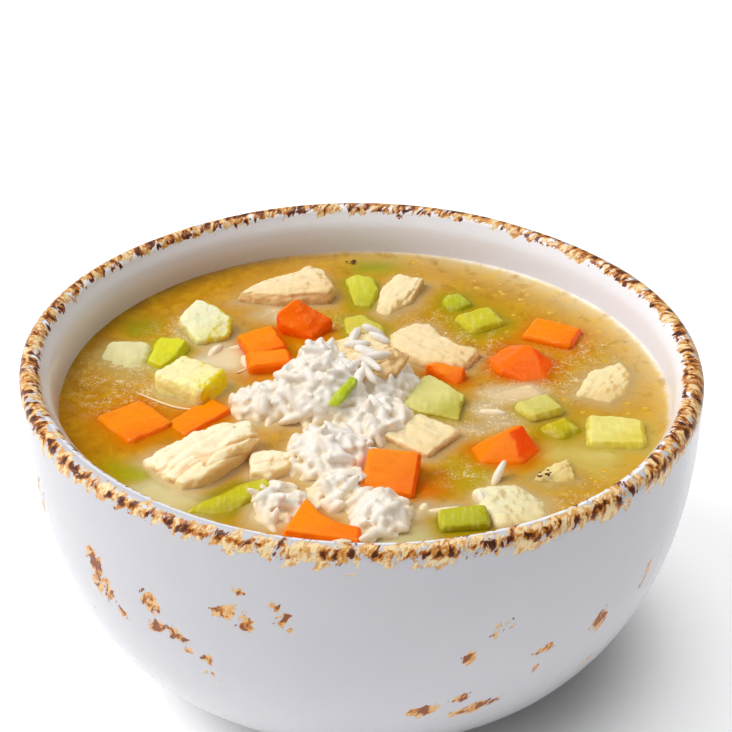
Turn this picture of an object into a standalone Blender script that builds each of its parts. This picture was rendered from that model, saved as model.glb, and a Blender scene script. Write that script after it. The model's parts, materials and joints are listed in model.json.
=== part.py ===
"""A stoneware bowl of chicken consomme: hazy golden broth with a heap of rice and cut carrot, celery,
potato and chicken standing in it. The origin is the centre of the foot on the table, +Z is up,
and -Y is the near side.

Each piece of food is its own closed solid. The broth is one solid up to its level, cut round all that stands
in it, and the rice is one solid out to the uneven outline of its heap.
"""

import math
import random

import bmesh
import bpy
from mathutils import Matrix, Vector, noise

MM = 0.001  # every length below is in millimetres
NOISE_SEED = 7  # of the unevenness, so that each build gives the same shapes

# Bowl
RIM_RADIUS = 77.5
HEIGHT = 78.0
LIP = 5.0
BODY_DEPTH = 75.4  # from the rim down to where the body meets the foot ring
OUTER_DEPTH = 82.9  # depth at which the outer curve would close
OUTER_POWERS = (2.57, 2.9)
INNER_RADIUS = 71.0
INNER_DEPTH = 76.0
FLOOR_DEPTH = 69.5
LIP_FLARE = 1.6  # the bore opens out by this much at the lip
FLARE_DEPTH = 4.0
FOOT_OUTER = 43.6
FOOT_INNER = 38.5
FOOT_RECESS = 2.4
SEGMENTS = 48
OUTER_STEPS = 10
BORE_STEPS = 7
RIM_LEAN = 1.4  # the rim is hand thrown: it stands this much higher on one side
RIM_LEAN_SIDE = math.radians(148)
RIM_WAVE = 0.37
RIM_WAVE_SIDE = math.radians(30)

# Contents
BROTH_DROP = 11.3  # from the rim down to the broth
BROTH_LEVEL = HEIGHT - BROTH_DROP
GAP = 0.3  # between solids that touch
LEAST_COSINE = 0.5  # keeps a cutter's sharp corners from running far out
CHUNK_DEPTH = 7.5  # how far a floating piece reaches below the broth
CHUNK_TAPER = 0.82

# The rice heap: clumps as (x, y, height above the broth, half width along x, half width along y, facets)
CLUMPS = (
    (-10, -3, 9.0, 12, 11, 3),
    (-10, 4, 11.0, 6, 6, 2),
    (2, 3, 7.5, 10, 10, 2),
    (-22, -6, 4.0, 7, 7, 2),
    (2, -13, 4.0, 9, 9, 2),
    (-7, -28, 5.0, 9, 10, 2),
    (-18, -46, 2.6, 6, 7, 2),
    (-3, -41, 2.8, 7, 7, 2),
    (4, -51, 4.0, 6, 8, 2),
)
CLUMP_SINK = 4.0  # a clump is widest this far below the broth
CLUMP_DEPTH = 9.0
GRAIN_RELIEF = 0.8

COLOURS = {
    "bowl": (0.80, 0.80, 0.82),
    "broth": (0.62, 0.36, 0.07),
    "rice": (0.88, 0.85, 0.80),
    "carrot": (0.95, 0.26, 0.01),
    "celery": (0.60, 0.62, 0.06),
    "potato": (0.88, 0.78, 0.42),
    "chicken": (0.90, 0.76, 0.52),
}
ROUGHNESS = {"bowl": 0.15, "broth": 0.05, "rice": 0.45, "carrot": 0.3, "celery": 0.3, "potato": 0.35,
    "chicken": 0.5}


def clear_scene():
    for thing in list(bpy.data.objects):
        bpy.data.objects.remove(thing, do_unlink=True)


def finish_of(name, kind):
    """A material of its own for each piece, a little lighter or darker than the next one of its kind."""
    tone = random.Random(name).uniform(0.93, 1.0)
    material = bpy.data.materials.new(name + "_finish")
    material.use_nodes = True
    shader = material.node_tree.nodes["Principled BSDF"]
    shader.inputs["Base Color"].default_value = (*(tone * part for part in COLOURS[kind]), 1)
    shader.inputs["Roughness"].default_value = ROUGHNESS[kind]
    return material


def add_object(name, mesh, kind):
    """An object from a bmesh in millimetres."""
    bmesh.ops.scale(mesh, vec=(MM, MM, MM), verts=mesh.verts)
    bmesh.ops.recalc_face_normals(mesh, faces=mesh.faces)
    data = bpy.data.meshes.new(name)
    mesh.to_mesh(data)
    mesh.free()
    data.materials.append(finish_of(name, kind))
    thing = bpy.data.objects.new(name, data)
    bpy.context.scene.collection.objects.link(thing)
    return thing


def round_over(thing, width, segments=1):
    bevel = thing.modifiers.new("rounded edges", "BEVEL")
    bevel.width = width * MM
    bevel.segments = segments
    bevel.limit_method = "ANGLE"
    bevel.angle_limit = math.radians(25)


def bake(thing):
    """The object keeps the mesh that its modifiers make, without any crumb that a cut left loose."""
    bpy.context.view_layer.update()
    shape = bmesh.new()
    shape.from_object(thing, bpy.context.evaluated_depsgraph_get())
    flat = math.radians(0.05)
    bmesh.ops.dissolve_limit(shape, angle_limit=flat, verts=shape.verts, edges=shape.edges)
    bmesh.ops.triangulate(shape, faces=shape.faces)
    bodies = []
    left = set(shape.verts)
    while left:
        body, edge = set(), [left.pop()]
        while edge:
            vert = edge.pop()
            body.add(vert)
            near = {e.other_vert(vert) for e in vert.link_edges} & left
            left -= near
            edge.extend(near)
        bodies.append(body)
    main = max(bodies, key=len)
    crumbs = [vert for vert in shape.verts if vert not in main]
    bmesh.ops.delete(shape, geom=crumbs, context="VERTS")
    shape.to_mesh(thing.data)
    shape.free()
    thing.modifiers.clear()
    thing.data.shade_smooth()
    thing.data.set_sharp_from_angle(angle=math.radians(35))


# ---------------------------------------------------------------- bowl and broth


def curve_radius(depth, top, closing):
    """Radius of a bowl's curve at a depth under the rim."""
    return top * (1 - (depth / closing) ** OUTER_POWERS[0]) ** (1 / OUTER_POWERS[1])


def bore_radius(depth):
    flare = LIP_FLARE * math.exp(-depth / FLARE_DEPTH)
    return curve_radius(depth, INNER_RADIUS, INNER_DEPTH) + flare


def bore_profile(top, steps, inset=0.0):
    """(radius, height) down the bore, from a depth of top to the floor."""
    points = []
    for step in range(steps + 1):
        depth = top + (FLOOR_DEPTH - top) * math.sin(step / steps * math.pi / 2)
        points.append((bore_radius(depth) - inset, HEIGHT - depth))
    return points


def rim_lift(angle, height):
    """How far the uneven rim stands above its mean height, fading out towards the foot."""
    lean = RIM_LEAN * math.cos(angle - RIM_LEAN_SIDE)
    wave = RIM_WAVE * math.cos(2 * (angle - RIM_WAVE_SIDE))
    return (lean + wave) * (max(height, 0) / HEIGHT) ** 3


def spin_profile(profile, uneven):
    """A turned bmesh from (radius, height) points, with its rim lifted where uneven is set."""
    mesh = bmesh.new()
    line = [mesh.verts.new((radius, 0, height)) for radius, height in profile]
    edges = [mesh.edges.new(pair) for pair in zip(line, line[1:])]
    bmesh.ops.spin(
        mesh, geom=line + edges, axis=(0, 0, 1), cent=(0, 0, 0), steps=SEGMENTS, angle=math.tau,
        use_merge=True
    )
    bmesh.ops.remove_doubles(mesh, verts=mesh.verts, dist=0.001)
    if uneven:
        for vert in mesh.verts:
            vert.co.z += rim_lift(math.atan2(vert.co.y, vert.co.x), vert.co.z)
    return mesh


def make_bowl():
    lip_radius = LIP / 2
    outside = []
    for step in range(OUTER_STEPS + 1):
        depth = lip_radius + (BODY_DEPTH - lip_radius) * math.cos(step / OUTER_STEPS * math.pi / 2)
        outside.append((curve_radius(depth, RIM_RADIUS, OUTER_DEPTH), HEIGHT - depth))
    lip = []
    for step in range(1, 6):
        turn = math.pi * step / 6
        lip.append((RIM_RADIUS - lip_radius + lip_radius * math.cos(turn), HEIGHT - lip_radius + lip_radius * math.sin(turn)))
    foot = [(0, FOOT_RECESS), (FOOT_INNER - 1, FOOT_RECESS), (FOOT_INNER, 0), (FOOT_OUTER, 0)]
    inside = bore_profile(lip_radius + 0.6, BORE_STEPS)
    bowl = spin_profile(foot + outside + lip + inside + [(0, HEIGHT - FLOOR_DEPTH)], True)
    thing = add_object("bowl", bowl, "bowl")
    thing.data.shade_smooth()
    thing.data.set_sharp_from_angle(angle=math.radians(50))
    return thing


def make_broth():
    """The broth before anything is cut out of it: it fills the bore to its level."""
    wall = bore_profile(BROTH_DROP, BORE_STEPS - 1, GAP)
    wall = [(radius, height + (0 if height > BROTH_LEVEL - 1 else GAP)) for radius, height in wall]
    body = spin_profile(wall, False)
    bmesh.ops.holes_fill(body, edges=[edge for edge in body.edges if edge.is_boundary])
    return add_object("broth", body, "broth")


# ---------------------------------------------------------------- pieces of food


def place_top(mesh, at, rise, turn, slope):
    """Moves a body from the origin, its top centre, to its place, its top sloping by (dz/dx, dz/dy)."""
    up = Vector((-slope[0], -slope[1], 1)).normalized()
    lean = Vector((0, 0, 1)).rotation_difference(up).to_matrix().to_4x4()
    move = Matrix.Translation((at[0], at[1], BROTH_LEVEL + rise))
    bmesh.ops.transform(mesh, matrix=move @ lean @ Matrix.Rotation(math.radians(turn), 4, "Z"),
        verts=mesh.verts)


def dice(name, at, rise, size, turn, slope=(0, 0), bevel=0.8, segments=1, rough=0.5):
    """A knife-cut block, its corners a little off square."""
    shake = random.Random(name)
    mesh = bmesh.new()
    bmesh.ops.create_cube(mesh, size=1)
    for vert in mesh.verts:
        taper = 1.0 if vert.co.z > 0 else 0.93
        spot = Vector((vert.co.x * size[0] * taper, vert.co.y * size[1] * taper, (vert.co.z - 0.5) * size[2]))
        vert.co = spot + rough * Vector([shake.uniform(-1, 1) for _ in range(3)])
    place_top(mesh, at, rise, turn, slope)
    thing = add_object(name, mesh, name.split("_")[0])
    round_over(thing, bevel, segments)
    return thing


def chunk(name, top, depth=CHUNK_DEPTH, bevel=0.7, segments=1):
    """A cut piece with flat facets: the hull of its upper corners, given as (x, y, height above the broth), and of
    the same outline, drawn in, at its underside."""
    mesh = bmesh.new()
    corners = [Vector((x, y, BROTH_LEVEL + rise)) for x, y, rise in top]
    middle = sum(corners, Vector()) / len(corners)
    for corner in corners:
        mesh.verts.new(corner)
        low = middle.lerp(corner, CHUNK_TAPER)
        mesh.verts.new((low.x, low.y, BROTH_LEVEL - depth + 0.25 * (corner.z - BROTH_LEVEL)))
    bmesh.ops.convex_hull(mesh, input=mesh.verts)
    loose = [vert for vert in mesh.verts if not vert.link_faces]
    bmesh.ops.delete(mesh, geom=loose, context="VERTS")
    flat = math.radians(4)
    bmesh.ops.dissolve_limit(mesh, angle_limit=flat, verts=mesh.verts, edges=mesh.edges)
    thing = add_object(name, mesh, name.split("_")[0])
    round_over(thing, bevel, segments)
    return thing


def torn(name, outline, rise, thick, slope=(0, 0), crown=0.7, rough=0.5):
    """A torn piece of meat: an outline of (x, y) points, crowned on top, pulled in below, all uneven."""
    mesh = bmesh.new()
    count = len(outline)
    middle = Vector((sum(x for x, y in outline) / count, sum(y for x, y in outline) / count))
    levels = ((0.62, 0.0), (0.93, -0.6 * crown), (1.0, -0.3 * thick), (0.96, -0.7 * thick), (0.78, -thick))
    rings = []
    for share, drop in levels:
        ring = []
        for x, y in outline:
            spot = middle.lerp(Vector((x, y)), share)
            base = BROTH_LEVEL + rise + slope[0] * (spot.x - middle.x) + slope[1] * (spot.y - middle.y)
            place = Vector((spot.x, spot.y, base + drop))
            ring.append(mesh.verts.new(place + rough * noise.noise_vector(place * 0.35)))
        rings.append(ring)
    for upper, lower in zip(rings, rings[1:]):
        for i in range(count):
            j = (i + 1) % count
            mesh.faces.new((upper[i], upper[j], lower[j], lower[i]))
    crest = mesh.verts.new((middle.x, middle.y, BROTH_LEVEL + rise + 0.4 * crown))
    sole = mesh.verts.new((middle.x, middle.y, BROTH_LEVEL + rise - thick - 0.3))
    for i in range(count):
        j = (i + 1) % count
        mesh.faces.new((crest, rings[0][j], rings[0][i]))
        mesh.faces.new((sole, rings[-1][i], rings[-1][j]))
    return add_object(name, mesh, name.split("_")[0])


def make_pieces():
    """All the cut food, each piece after those that it gives way to."""
    yield dice("carrot_9", (6, -38.5), 3.9, (11.5, 12, 11), -10, (0.02, 0.55))
    yield dice("potato_4", (13.5, -19.6), 2.0, (13, 12.6, 4.5), 51, (0.02, 0.02), 0.6)
    yield torn(
        "chicken_6",
        ((-48.5, -30), (-44.5, -26), (-37, -22.3), (-30, -20.5), (-24, -20.6), (-22.5, -26), (-28, -32.5),
         (-33, -38.5), (-38.5, -40.5), (-44, -35.5)),
        4.0, 7.5, (0.18, 0.10), 1.2,
    )
    yield torn(
        "chicken_7", ((-24.2, -28), (-19.8, -26.6), (-14, -29), (-15.5, -33.5), (-20, -37), (-24.5, -36)),
        2.4, 6.0, (0, 0.05), 0.8,
    )
    yield torn(
        "chicken_1",
        ((-31, 43.5), (-24, 50), (-17, 53.6), (-13, 57.5), (-9.5, 55), (-6.3, 46), (-8, 42.3), (-20, 41.6)),
        3.7, 8.0, (0.02, 0.0), 0.6,
    )
    yield torn(
        "chicken_2", ((-7.5, 8.5), (-2, 12.5), (2.5, 15), (5.5, 8), (11, 5.5), (8, -2), (1, -4.5), (-6, -1)),
        8.6, 3.0, (-0.05, 0.10), 0.8,
    )
    yield torn(
        "chicken_3", ((4.5, 49), (9.3, 55.2), (12, 53), (16, 52.3), (12.5, 43), (6, 35), (2.5, 37.5)),
        1.9, 7.0, (0.04, 0.14), 0.7,
    )
    yield torn(
        "chicken_4",
        ((6.6, 26), (12.5, 30.8), (16.3, 30.8), (19, 23.8), (24, 18.4), (28.3, 16.4), (24, 9.4), (14.5, 11.8),
         (7.2, 18.5)),
        2.2, 5.0, (0.02, 0), 0.5, 0.35,
    )
    yield torn(
        "chicken_5", ((48.6, -1.5), (52.5, 8), (60.8, 13.8), (63.3, 8.5), (61, 0),
        (56.5, -5)), 1.0, 6.0, (-0.03, 0.05)
    )
    yield torn(
        "chicken_8", ((45.3, -29.6), (39, -33.6), (36, -36.2), (40.5, -39), (46.5, -36)), 0.8, 5.5,
        (0.02, 0.22), 0.5
    )
    yield chunk(
        "carrot_3",
        ((-16.2, 33, 8), (-21.2, 30, 5), (-6.4, 30, 3), (-11.7, 24, 0.5), (-15.8, 25.8, 1.5),
        (-19.8, 27.2, 2.5)),
    )
    yield dice("carrot_4", (-23.6, 19.8), 3.7, (9.8, 9.6, 10), 22, (0.0, 0.12))
    yield dice("carrot_5", (-21.8, 11.6), 3.1, (10.8, 6.2, 9), 10, (0, 0.1))
    yield dice("potato_3", (-39.2, 2.2), 5.0, (14, 12, 12), -32, (0, 0), 1.8, 2)
    yield dice("carrot_2", (-37, -10.8), 0.9, (15, 8.5, 9), 47, (0.03, 0.03))
    yield dice("carrot_1", (-51, -12.4), 0.5, (12.4, 14.5, 10), 40, (0, 0), 0.8, 1, 0.3)
    yield chunk("celery_1", ((-51.5, 13, 1.5), (-49.4, 25, 1.7), (-43.4, 24.4, 2), (-40.4, 21, 2.2),
        (-42.7, 13.7, 2),
                             (-47, 9.7, 1.2)), 6, 1.4)
    yield chunk("potato_1", ((-40.8, 36.4, 5.5), (-36.5, 35.4, 5), (-30.8, 30, 4), (-31.4, 24, 1.4),
        (-39.5, 21.6, 1.2),
                             (-44.6, 29.2, 4)), 7, 1.2, 2)
    yield chunk("potato_2", ((-60, 22, 1.6), (-51.2, 20.8, 2), (-48, 12.5, -0.6), (-53.5, 4.6, -2.6),
        (-62.3, 15, -1)),
                8, 1.0)
    yield chunk("celery_2", ((-4.8, 54.5, 1.2), (-1.5, 56, 2.4), (3, 54.5, 2), (5, 47, 1.6), (2.8, 39, 0.8),
                             (-1.8, 40, 0.8)), 6, 1.4)
    yield chunk("celery_3", ((-5.4, 36.4, 0.8), (0, 36.8, 1), (6, 31, 0.7), (6.5, 22, 1.4), (3, 24, 0.6),
                             (-4.6, 27, 0.5)), 5, 1.2)
    yield chunk("celery_5", ((20, 46, 0.5), (24.4, 47.6, 1.1), (27.6, 41, 1), (23.5, 38, 0.6),
        (19.8, 40, 0.4)), 5, 1.2)
    yield dice("celery_6", (28.9, 33), 1.9, (11, 10, 8), 32, (0, 0.03), 1.3)
    yield chunk("celery_7", ((15.5, 6.6, 2), (23.8, -3.6, 2.4), (22, -12.6, 0.8), (14.6, -10, 1),
        (9.2, -7, 0.9),
                             (10, 0, 1.6)), 7, 1.5)
    yield dice("celery_8", (40.2, -7.4), 1.9, (9.4, 9.4, 8), 26, (0, 0.03), 1.3)
    yield dice("celery_9", (44.8, -16), 1.1, (8, 8, 7), 38, (0, 0), 1.5)
    yield dice("celery_10", (56.4, -18.2), 2.0, (13.6, 11.8, 8), -4, (0, 0.03), 1.3)
    yield chunk("celery_11", ((-37.8, -49.4, 0.8), (-25, -45.2, 1.4), (-18.8, -40.2, 1.9), (-20, -36, 1.2),
                              (-26.5, -37, -0.3), (-34, -42.5, -0.8), (-29, -50.5, -0.5)), 6, 0.9)
    yield dice("celery_12", (21, -53), 2.5, (11, 6.5, 7), 6, (0, 0.2), 1.0, 2)
    yield chunk("celery_4", ((-2.4, -5, 8.4), (-0.4, -6.4, 8), (-5.6, -16.8, 6.6),
        (-8.2, -15.6, 6.8)), -4, 0.5)
    yield chunk("carrot_6", ((14, 9, 2.8), (17.3, 10.4, 3), (24.4, 7.6, 3), (23.8, 4.4, 0.6),
        (21.4, 3, 0.2)), 6)
    yield chunk("carrot_7", ((40, 18, 3.2), (31.2, 8, 1.8), (35.4, 23.2, 0.2), (28.6, 16, -0.3),
        (46, 14, 0.2),
                             (43, 5.4, -0.2), (37.6, 4, 0.2)), 8, 1.0)
    yield dice("carrot_8", (45.6, 26.3), 2.0, (12.4, 9.3, 9), -24, (0, 0.02))
    yield torn("carrot_10", ((-12, -45.4), (-14.5, -52), (-16.6, -57.6), (-9, -59.4), (-0.4, -61.4),
        (0.2, -56.6),
                             (-5.2, -54.6), (-9.2, -51)), 2.2, 6, (0.0, 0.06), 0.2, 0.15)
    yield chunk("carrot_11", ((31.6, -23, 4.6), (35.5, -18.8, 4), (35.6, -30.8, 0.4), (23.4, -23.4, 0.4),
                              (25.5, -30.4, 0.3), (39.8, -24.6, 0.2)), 7)
    yield chunk("potato_5", ((23.6, -42, 1.2), (33, -38.2, -0.4), (40, -44.2, -1.2), (37.6, -52, -0.8),
                             (28.6, -54.6, 1)), 7, 1.2, 2)


# ---------------------------------------------------------------- rice


def make_clump(name, number):
    """One uneven ellipsoid of the heap, cut flat below. Each goes a little deeper than the one before."""
    x, y, top, half_x, half_y, facets = CLUMPS[number]
    floor = CLUMP_SINK - CLUMP_DEPTH - 0.4 * number
    tall = top + CLUMP_SINK
    spread = 1 / math.sqrt(1 - (CLUMP_SINK / tall) ** 2)
    mesh = bmesh.new()
    bmesh.ops.create_icosphere(mesh, subdivisions=facets, radius=1)
    for vert in mesh.verts:
        spot = Vector((x + vert.co.x * half_x * spread, y + vert.co.y * half_y * spread, vert.co.z * tall))
        spot += GRAIN_RELIEF * noise.noise_vector(spot * 0.4)
        spot.z = max(spot.z, floor)
        vert.co = spot + Vector((0, 0, BROTH_LEVEL - CLUMP_SINK))
    flat = math.radians(0.1)
    bmesh.ops.dissolve_limit(mesh, angle_limit=flat, verts=mesh.verts, edges=mesh.edges)
    return add_object(name, mesh, "rice")


def make_heap():
    """The clumps joined into one body, and the cutters that clear the broth from them."""
    heap = make_clump("rice_heap", 0)
    cutters = [make_cutter(heap)]
    for number in range(1, len(CLUMPS)):
        more = make_clump(f"clump_{number}", number)
        more.hide_render = True
        more.display_type = "WIRE"
        cutters.append(make_cutter(more))
        join = heap.modifiers.new(more.name, "BOOLEAN")
        join.operation = "UNION"
        join.solver = "EXACT"
        join.object = more
    bake(heap)
    return heap, cutters


# ---------------------------------------------------------------- gaps between the pieces


def overshoot(vert):
    """How many gaps a vertex moves along its normal for each of its faces to move by one gap."""
    return 1 / max(min(face.normal.dot(vert.normal) for face in vert.link_faces), LEAST_COSINE)


def make_cutter(thing):
    """A hidden copy of a piece, grown by the gap and without rounded edges, that cuts its neighbours."""
    shape = bmesh.new()
    shape.from_mesh(thing.data)
    bmesh.ops.triangulate(shape, faces=shape.faces)
    shape.normal_update()
    grown = [vert.co + vert.normal * GAP * MM * overshoot(vert) for vert in shape.verts]
    for vert, spot in zip(shape.verts, grown):
        vert.co = spot
    data = bpy.data.meshes.new(thing.name + "_cutter")
    shape.to_mesh(data)
    shape.free()
    cutter = bpy.data.objects.new(thing.name + "_cutter", data)
    bpy.context.scene.collection.objects.link(cutter)
    cutter.hide_render = True
    cutter.display_type = "WIRE"
    return cutter


def extent(thing):
    corners = [vert.co for vert in thing.data.vertices]
    return [(min(c[axis] for c in corners), max(c[axis] for c in corners)) for axis in range(3)]


def may_touch(first, second):
    boxes = zip(extent(first), extent(second))
    return all(low_a < high_b and low_b < high_a for (low_a, high_a), (low_b, high_b) in boxes)


def cut_clear(thing, cutters):
    """Cuts a thing clear of each neighbour's cutter, then bakes it."""
    bake(thing)
    for cutter in cutters:
        if not may_touch(thing, cutter):
            continue
        cut = thing.modifiers.new("clear of " + cutter.name, "BOOLEAN")
        cut.operation = "DIFFERENCE"
        cut.solver = "EXACT"
        cut.object = cutter
    bake(thing)


def main():
    noise.seed_set(NOISE_SEED)
    clear_scene()
    make_bowl()
    cutters = []
    for piece in make_pieces():
        own = make_cutter(piece)
        cut_clear(piece, cutters)
        cutters.append(own)
    heap, heap_cutters = make_heap()
    cut_clear(heap, cutters)
    cut_clear(make_broth(), cutters + heap_cutters)


main()
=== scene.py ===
"""The looks of a bowl of chicken consomme: a speckled stoneware bowl, hazy golden broth, rice and food.

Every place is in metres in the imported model's frame: the bowl stands on z = 0, +Z is up, -Y is the near side.
Lengths in millimetres are multiplied by MM. Colours are written as sRGB hex and turned to linear values.
"""

import json
import math
import random

import bmesh
import bpy
import numpy as np
from mathutils import Matrix, Vector, kdtree, noise
from mathutils.bvhtree import BVHTree
from mathutils.geometry import interpolate_bezier

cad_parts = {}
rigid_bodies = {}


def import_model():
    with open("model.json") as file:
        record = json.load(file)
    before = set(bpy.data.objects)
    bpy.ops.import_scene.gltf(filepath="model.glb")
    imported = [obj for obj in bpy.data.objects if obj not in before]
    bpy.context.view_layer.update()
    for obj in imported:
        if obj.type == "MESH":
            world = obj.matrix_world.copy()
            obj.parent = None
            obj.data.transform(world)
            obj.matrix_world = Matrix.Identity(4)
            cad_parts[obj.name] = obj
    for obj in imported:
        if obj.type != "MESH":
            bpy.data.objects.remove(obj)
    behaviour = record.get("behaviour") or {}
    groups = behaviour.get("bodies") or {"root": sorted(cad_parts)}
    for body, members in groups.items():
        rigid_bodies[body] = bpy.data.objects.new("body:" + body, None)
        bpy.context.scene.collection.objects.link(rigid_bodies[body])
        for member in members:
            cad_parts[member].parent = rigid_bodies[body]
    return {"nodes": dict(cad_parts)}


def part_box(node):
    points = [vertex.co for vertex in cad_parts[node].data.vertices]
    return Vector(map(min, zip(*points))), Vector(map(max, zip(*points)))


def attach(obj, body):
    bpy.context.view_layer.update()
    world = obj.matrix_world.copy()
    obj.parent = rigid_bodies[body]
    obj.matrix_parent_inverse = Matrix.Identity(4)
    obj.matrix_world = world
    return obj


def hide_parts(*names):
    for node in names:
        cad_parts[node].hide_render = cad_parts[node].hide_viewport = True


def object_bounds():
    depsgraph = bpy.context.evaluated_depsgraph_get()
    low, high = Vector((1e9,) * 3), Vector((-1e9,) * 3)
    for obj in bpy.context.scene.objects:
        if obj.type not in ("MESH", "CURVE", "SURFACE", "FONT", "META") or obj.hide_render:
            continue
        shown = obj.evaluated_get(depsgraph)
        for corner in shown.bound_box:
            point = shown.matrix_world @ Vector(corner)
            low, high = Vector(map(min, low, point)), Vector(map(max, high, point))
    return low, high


MM = 0.001
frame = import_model()
cad_low, cad_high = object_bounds()
NODES = frame["nodes"]
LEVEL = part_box("broth")[1].z / MM  # the broth's surface, in millimetres


# ---------------------------------------------------------------- small helpers


def hue(code):
    """Linear red, green and blue of an sRGB hex colour."""
    parts = [int(code[i : i + 2], 16) / 255 for i in (1, 3, 5)]
    return tuple(p / 12.92 if p <= 0.04045 else ((p + 0.055) / 1.055) ** 2.4 for p in parts)


def add_object(name, data):
    thing = bpy.data.objects.new(name, data)
    bpy.context.scene.collection.objects.link(thing)
    return thing


def add_piece(name, points, faces, *materials, slot, replaces=()):
    """A mesh from points in millimetres that rides on the bowl and takes the given finishes; the slot is not
    used.
    """
    mesh = bpy.data.meshes.new(name)
    mesh.from_pydata((np.asarray(points, float) * MM).tolist(), [], [tuple(face) for face in faces])
    return settle(mesh, name, materials, replaces)


def settle(mesh, name, materials, replaces=()):
    """Puts a finished mesh in the scene as a piece of the object."""
    mesh.validate()
    mesh.update()
    mesh.shade_smooth()
    mesh.materials.clear()
    for material in materials:
        mesh.materials.append(material)
    piece = add_object(name, mesh)
    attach(piece, "root")
    if replaces:
        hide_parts(*replaces)
    return piece


def rows_of(mesh, field):
    flat = np.empty(len(mesh.vertices) * 3)
    mesh.vertices.foreach_get(field, flat)
    return flat.reshape(-1, 3)


def points_of(mesh):
    """A mesh's vertices as rows of millimetres."""
    return rows_of(mesh, "co") / MM


def normals_of(mesh):
    return rows_of(mesh, "normal")


def shape_of(mesh):
    shape = bmesh.new()
    shape.from_mesh(mesh)
    return shape


def store(mesh, name, values, kind="FLOAT", field="value"):
    """A value for each point of a mesh, for its material to read."""
    mesh.attributes.new(name, kind, "POINT").data.foreach_set(field, values)


def set_points(mesh, points):
    mesh.vertices.foreach_set("co", (points * MM).ravel())
    mesh.update()


def roughen(points, size, strength, seed, octaves):
    """A smooth random number for each point, of about -strength to strength, over features of this size."""
    shift = Vector((seed * 17.3, seed * 5.1, seed * 11.7))
    return np.array([strength * noise.fractal(Vector(p) / size + shift, 0.8, 2.0, octaves) for p in points])


def bump(distance, reach):
    """1 at no distance, falling smoothly towards 0 past the reach."""
    return np.exp(-np.square(np.asarray(distance) / reach))


def turned(degrees, middle):
    """Degrees from a middle direction, between -180 and 180."""
    return (degrees - middle + 180) % 360 - 180


# ---------------------------------------------------------------- materials


class Finish:
    """A Principled material and short calls for the nodes that feed it."""

    def __init__(self, name, **sockets):
        self.material = bpy.data.materials.new(name)
        self.material.use_nodes = True
        self.tree = self.material.node_tree
        self.shader = self.tree.nodes["Principled BSDF"]
        for socket, value in sockets.items():
            self.shader.inputs[socket.replace("_", " ")].default_value = value
        self.place = None

    def put(self, target, value):
        """Feeds a socket with a link, a number or a colour, which may be a hex code."""
        if isinstance(value, str):
            value = hue(value)
        if isinstance(value, bpy.types.NodeSocket):
            self.tree.links.new(value, target)
        elif hasattr(value, "__len__") and len(value) == 3 and target.type == "RGBA":
            target.default_value = (*value, 1)
        else:
            target.default_value = value

    def node(self, kind, **settings):
        made = self.tree.nodes.new(kind)
        for key, value in settings.items():
            setattr(made, key, value)
        return made

    def math(self, operation, *values, clamp=False):
        made = self.node("ShaderNodeMath", operation=operation, use_clamp=clamp)
        for target, value in zip(made.inputs, values):
            self.put(target, value)
        return made.outputs[0]

    def plus(self, *values, clamp=False):
        return self.math("ADD", *values, clamp=clamp)

    def minus(self, *values):
        return self.math("SUBTRACT", *values)

    def times(self, *values):
        return self.math("MULTIPLY", *values)

    def mix(self, share, first, second, blend="MIX"):
        made = self.node("ShaderNodeMix", data_type="RGBA", blend_type=blend)
        self.put(made.inputs["Factor"], share)
        self.put(made.inputs["A"], first)
        self.put(made.inputs["B"], second)
        return made.outputs["Result"]

    def spot(self, stretch=(1, 1, 1)):
        """The place on the surface in millimetres, stretched per axis."""
        if self.place is None:
            self.place = self.node("ShaderNodeTexCoord").outputs["Object"]
        made = self.node("ShaderNodeMapping")
        self.put(made.inputs["Vector"], self.place)
        made.inputs["Scale"].default_value = [part / MM for part in stretch]
        return made.outputs["Vector"]

    def noise(self, size, detail=2.0, warp=0.0, rough=0.55, at=None, shift=0.0):
        """Smooth noise of 0 to 1 with features of a size in millimetres."""
        made = self.node("ShaderNodeTexNoise", noise_dimensions="4D")
        self.put(made.inputs["Vector"], at or self.spot())
        made.inputs["W"].default_value = shift
        made.inputs["Scale"].default_value = 1 / size
        made.inputs["Detail"].default_value = detail
        made.inputs["Roughness"].default_value = rough
        made.inputs["Distortion"].default_value = warp
        return made.outputs["Fac"]

    def ramp(self, share, *stops):
        """Numbers spread along a share, as (position, value) stops."""
        made = self.node("ShaderNodeValToRGB")
        made.color_ramp.interpolation = "B_SPLINE"
        bands = made.color_ramp.elements
        while len(bands) < len(stops):
            bands.new(0.5)
        for band, (position, value) in zip(bands, stops):
            band.position = position
            band.color = (value, value, value, 1)
        self.put(made.inputs["Fac"], share)
        return made.outputs["Color"]

    def between(self, value, low, high, to_low=0.0, to_high=1.0):
        """A number moved from one range to another and kept within it."""
        made = self.node("ShaderNodeMapRange", interpolation_type="SMOOTHSTEP")
        for target, number in zip(made.inputs, (value, low, high, to_low, to_high)):
            self.put(target, number)
        return made.outputs[0]

    def attribute(self, name, output="Fac"):
        return self.node("ShaderNodeAttribute", attribute_name=name).outputs[output]

    def height(self):
        """Height above the table in millimetres."""
        return self.side("Z")

    def side(self, axis):
        """The place along one axis in millimetres."""
        made = self.node("ShaderNodeSeparateXYZ")
        self.put(made.inputs[0], self.spot())
        return made.outputs[axis]

    def relief(self, height, depth):
        """Fine bumps this many millimetres deep."""
        made = self.node("ShaderNodeBump")
        made.inputs["Distance"].default_value = depth * MM
        made.inputs["Strength"].default_value = 1.0
        self.put(made.inputs["Height"], height)
        self.put(self.shader.inputs["Normal"], made.outputs[0])

    def colour(self, value):
        self.put(self.shader.inputs["Base Color"], value)

    def set(self, socket, value):
        self.put(self.shader.inputs[socket], value)


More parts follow.
